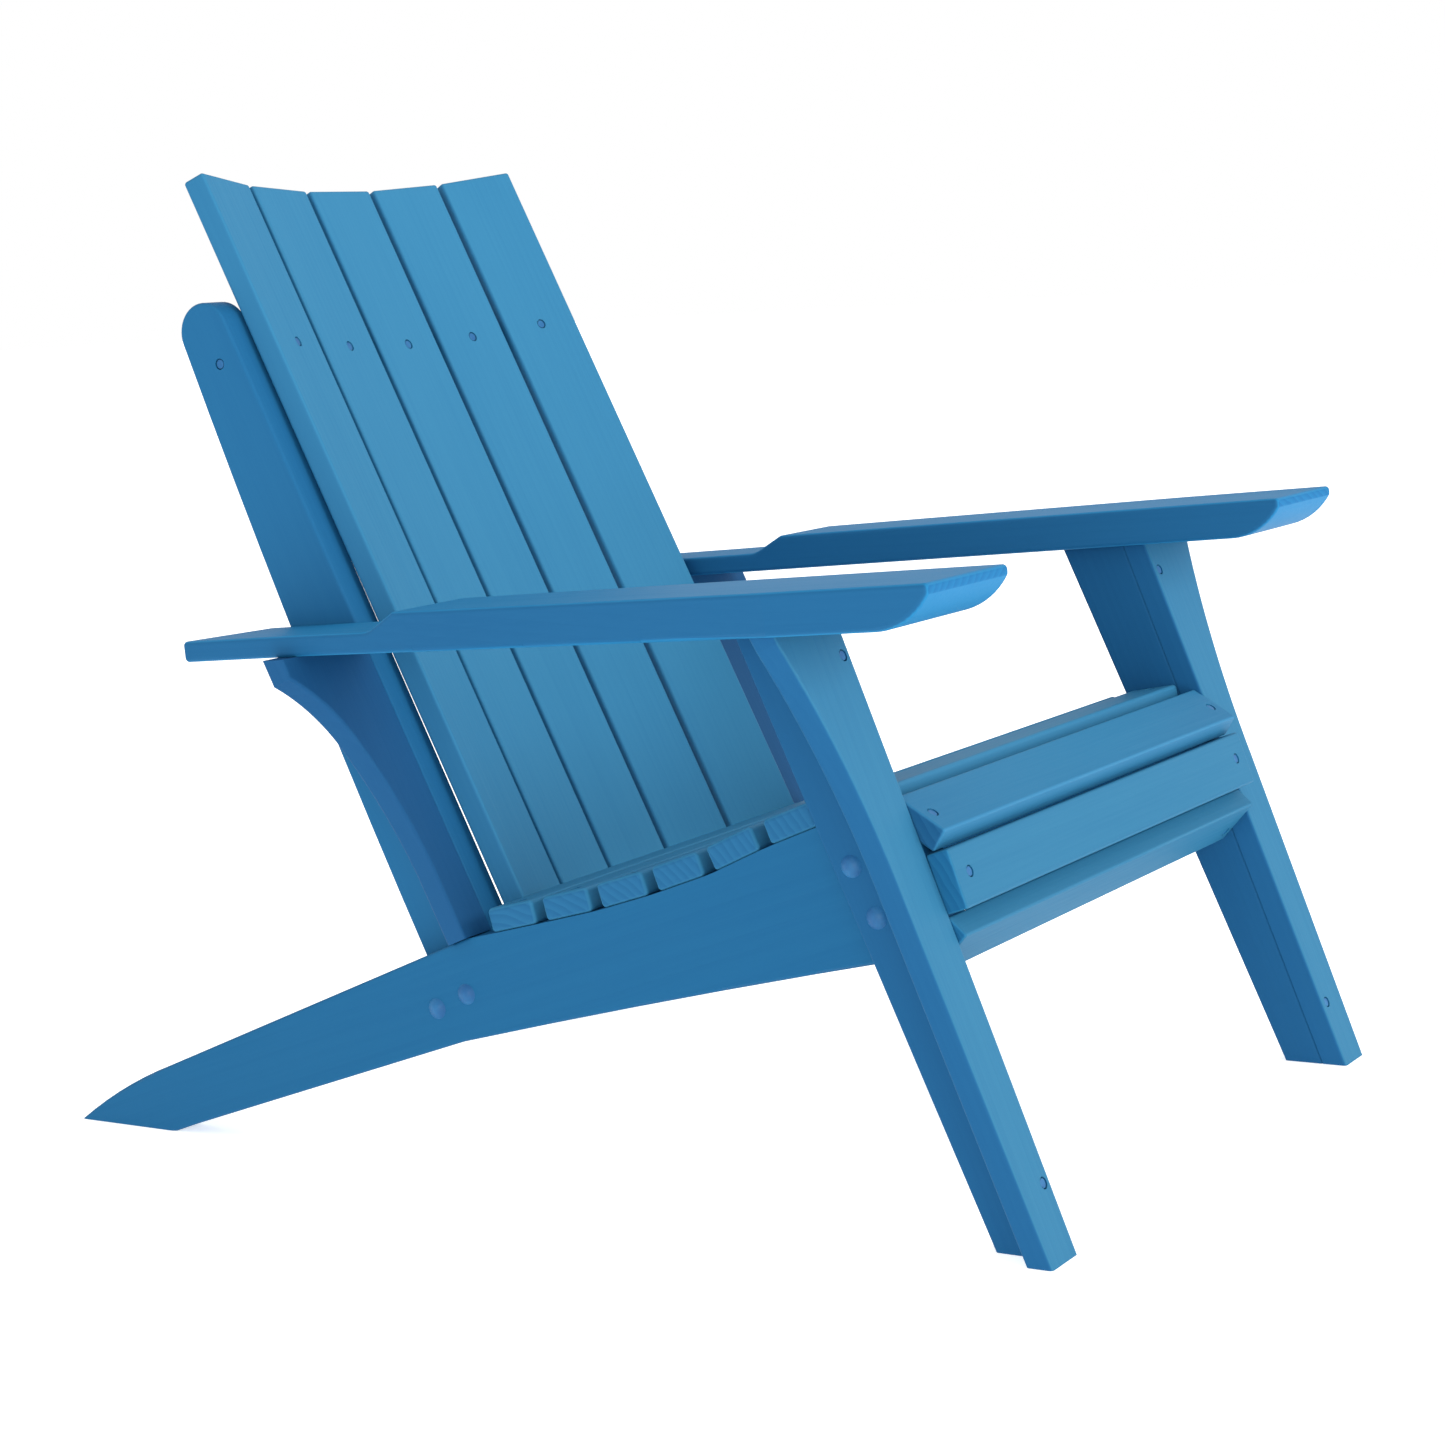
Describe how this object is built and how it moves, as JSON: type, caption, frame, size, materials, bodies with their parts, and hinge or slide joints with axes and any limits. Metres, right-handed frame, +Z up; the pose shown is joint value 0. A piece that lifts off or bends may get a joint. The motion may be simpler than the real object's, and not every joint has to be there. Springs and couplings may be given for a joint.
{
  "type": "adirondack chair",
  "caption": "Fixed wooden adirondack chair with a raked concave slatted back, a scooped slatted seat, broad flat arms on flared front legs, and side rails that form the rear legs.",
  "frame": {"origin": "middle of the overall footprint, on the floor", "axes": "-Y is the way the sitter faces, +X is to the sitter's left, +Z is up"},
  "size_m": [0.8338, 1.078, 0.9044],
  "materials": {
    "stained_wood": "semi-opaque blue stain over planed timber",
    "steel": "stainless steel, dulled",
    "dowel_wood": "plain beech, hidden"
  },
  "bodies": {
    "root": {"stringer_left": "stained_wood", "stringer_right": "stained_wood", "leg_side_board_left": "stained_wood", "leg_side_board_right": "stained_wood", "leg_front_board_left": "stained_wood", "leg_front_board_right": "stained_wood", "arm_left": "stained_wood", "arm_right": "stained_wood", "back_post_left": "stained_wood", "back_post_right": "stained_wood", "arm_bracket_left": "stained_wood", "arm_bracket_right": "stained_wood", "seat_slat_1": "stained_wood", "seat_slat_2": "stained_wood", "seat_slat_3": "stained_wood", "seat_slat_4": "stained_wood", "seat_slat_5": "stained_wood", "seat_slat_6": "stained_wood", "seat_slat_7": "stained_wood", "nosing_slat": "stained_wood", "apron_slat": "stained_wood", "lower_slat": "stained_wood", "back_slat_1": "stained_wood", "back_slat_2": "stained_wood", "back_slat_3": "stained_wood", "back_slat_4": "stained_wood", "back_slat_5": "stained_wood", "back_rail_upper": "stained_wood", "back_rail_lower": "stained_wood", "leg_bolts": "steel", "post_bolts": "steel", "bolt_washers": "steel", "bolt_nuts": "steel", "seat_screws": "steel", "leg_screws": "steel", "back_slat_screws": "steel", "post_screws": "steel", "arm_dowels": "dowel_wood"}
  },
  "joints": []
}
